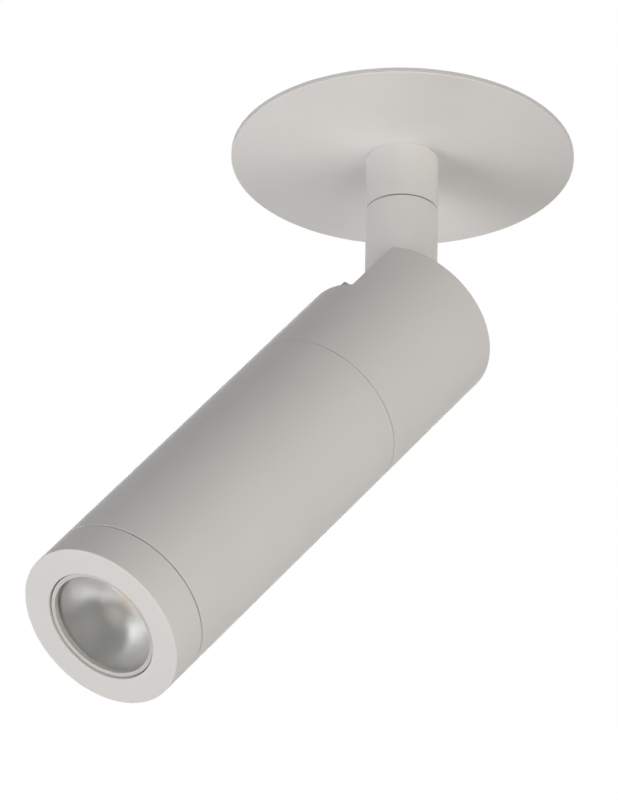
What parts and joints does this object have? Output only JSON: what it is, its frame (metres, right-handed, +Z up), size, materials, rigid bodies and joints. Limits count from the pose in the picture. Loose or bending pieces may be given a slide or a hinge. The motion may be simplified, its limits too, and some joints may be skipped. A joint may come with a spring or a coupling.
{
  "type": "recessed spotlight",
  "caption": "Ceiling spotlight: round plate with sprung clips on a shallow cup, turning stem, and a slotted tube head that tilts, with a clear lens in a ring.",
  "frame": {"origin": "centre of the ceiling plate's back face, which lies against the ceiling", "axes": "+Z up into the ceiling, X along the tilt axis, the head leans toward -Y"},
  "size_m": [0.1, 0.1669, 0.2119],
  "materials": {
    "powder": "matt warm-white powder coat",
    "zinc": "bright zinc plate",
    "steel": "plain spring steel",
    "aluminium": "cast, natural",
    "lens": "clear acrylic, lightly frosted",
    "grey_plastic": "dark grey moulding",
    "lens_ring": "light grey moulding",
    "white_plastic": "white moulding",
    "bush": "dark low-friction moulding",
    "rubber": "soft black",
    "pad": "soft white sleeve",
    "silicone": "brick-red silicone",
    "thermal": "grey heat pad",
    "ceramic": "white ceramic",
    "phosphor": "yellow phosphor under clear silicone"
  },
  "bodies": {
    "ceiling_mount": {"ceiling_plate": "powder", "back_cover": "powder", "cover_screws": "zinc", "cable_grommet": "rubber", "terminal_block": "white_plastic", "terminal_screws": "zinc", "cord_clamp": "white_plastic", "clamp_screws": "zinc", "fixed_collar": "powder", "collar_lock_washer": "zinc", "collar_nut": "zinc", "slip_washer": "bush", "clip_pin_front": "zinc", "clip_pin_rear": "zinc", "clip_spring_front": "steel", "clip_spring_rear": "steel"},
    "turning_stem": {"stem": "powder", "swivel_tube": "zinc", "thrust_washer": "bush", "cone_washer": "steel", "swivel_nut": "zinc", "stop_pin": "steel"},
    "head": {"rear_housing": "powder", "main_tube": "powder", "front_bezel": "powder", "pivot_bracket": "zinc", "pivot_bolt": "zinc", "pivot_washer": "steel", "pivot_nut": "zinc", "tilt_bush_left": "bush", "tilt_bush_right": "bush", "bracket_screws": "zinc", "heat_sink": "aluminium", "thermal_pad": "thermal", "led_board": "ceramic", "led_emitter": "phosphor", "led_holder": "white_plastic", "holder_screws": "zinc", "lens_cup": "grey_plastic", "optic_retainer": "white_plastic", "lens_gasket": "silicone", "lens_ring": "lens_ring", "lens": "lens"},
    "front_clip": {"clip_arm_front": "steel", "clip_pad_front": "pad"},
    "rear_clip": {"clip_arm_rear": "steel", "clip_pad_rear": "pad"}
  },
  "joints": [
    {"name": "pan", "type": "hinge", "parent": "ceiling_mount", "child": "turning_stem", "pos_m": [0, 0, -0.0189], "axis": [0, 0, 1], "range_deg": [-170, 170]},
    {"name": "tilt", "type": "hinge", "parent": "turning_stem", "child": "head", "pos_m": [0, 0, -0.0605], "axis": [-1, 0, 0], "range_deg": [-38.7, 51.3]},
    {"name": "front_clip_swing", "type": "hinge", "parent": "ceiling_mount", "child": "front_clip", "pos_m": [0, -0.0278, 0.0096], "axis": [-1, 0, 0], "range_deg": [0, 80], "stiffness_Nm_per_rad": 0.08, "springref_deg": -51.57, "deforming": ["clip_spring_front"]},
    {"name": "rear_clip_swing", "type": "hinge", "parent": "ceiling_mount", "child": "rear_clip", "pos_m": [0, 0.0278, 0.0096], "axis": [1, 0, 0], "range_deg": [0, 80], "stiffness_Nm_per_rad": 0.08, "springref_deg": -51.57, "deforming": ["clip_spring_rear"]}
  ]
}
